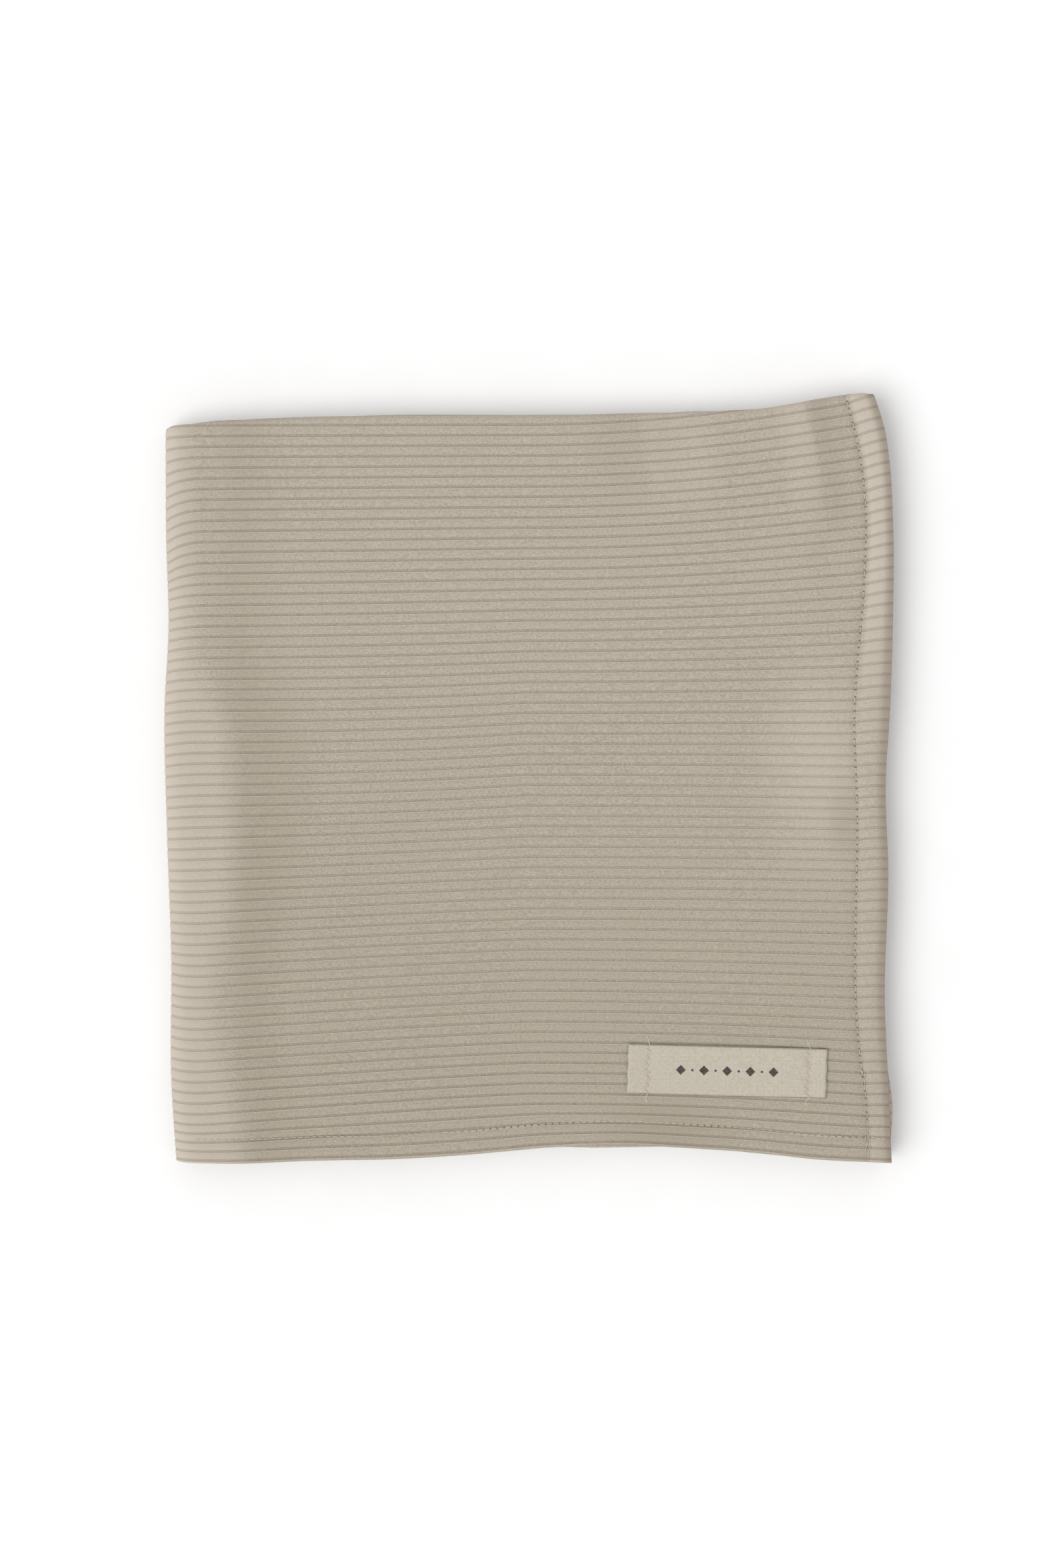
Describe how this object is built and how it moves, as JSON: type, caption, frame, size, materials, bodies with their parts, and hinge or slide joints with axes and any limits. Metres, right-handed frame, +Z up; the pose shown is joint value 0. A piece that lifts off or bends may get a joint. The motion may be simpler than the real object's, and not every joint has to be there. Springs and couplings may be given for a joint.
{
  "type": "baby wrap sling",
  "caption": "Rib-knit baby wrap cloth, hemmed and folded flat into a square stack, with a sewn-on tape label; its last fold opens like a book.",
  "frame": {"origin": "under the middle of the folded wrap, on the surface it rests on", "axes": "+Z up through the layers, +Y from the end hems to the far folds, +X from the last fold to the side hems"},
  "size_m": [0.252, 0.262, 0.0128],
  "materials": {
    "rib_knit": "matte stone-coloured wide-rib knit",
    "sewing_thread": "matte cream polyester sewing thread",
    "cotton_tape": "off-white cotton tape",
    "tack_thread": "cream thread, zigzag",
    "label_print": "dark brown print on tape"
  },
  "bodies": {
    "lower_leaf": {"wrap_quarter_bottom": "rib_knit", "wrap_quarter_lower": "rib_knit", "last_fold_outer": "rib_knit", "last_fold_inner": "rib_knit", "under_fold": "rib_knit", "end_hem_bottom": "rib_knit", "end_hem_lower": "rib_knit", "end_needle_thread_bottom": "sewing_thread", "end_needle_thread_lower": "sewing_thread", "end_looper_thread_bottom": "sewing_thread", "end_looper_thread_lower": "sewing_thread"},
    "upper_leaf": {"wrap_quarter_upper": "rib_knit", "wrap_quarter_top": "rib_knit", "side_hem_upper": "rib_knit", "side_hem_top": "rib_knit", "end_hem_upper": "rib_knit", "end_hem_top": "rib_knit", "side_needle_thread_upper": "sewing_thread", "side_needle_thread_top": "sewing_thread", "side_looper_thread_upper": "sewing_thread", "side_looper_thread_top": "sewing_thread", "end_needle_thread_upper": "sewing_thread", "end_needle_thread_top": "sewing_thread", "end_looper_thread_upper": "sewing_thread", "end_looper_thread_top": "sewing_thread", "label_tape": "cotton_tape", "label_tack_left": "tack_thread", "label_tack_right": "tack_thread", "label_motif": "label_print"}
  },
  "joints": [
    {"name": "last_fold", "type": "hinge", "parent": "lower_leaf", "child": "upper_leaf", "pos_m": [-0.1219, 0, 0.0061], "axis": [0, -1, 0], "range_deg": [0, 180], "deforming": ["last_fold_outer", "last_fold_inner"]}
  ]
}
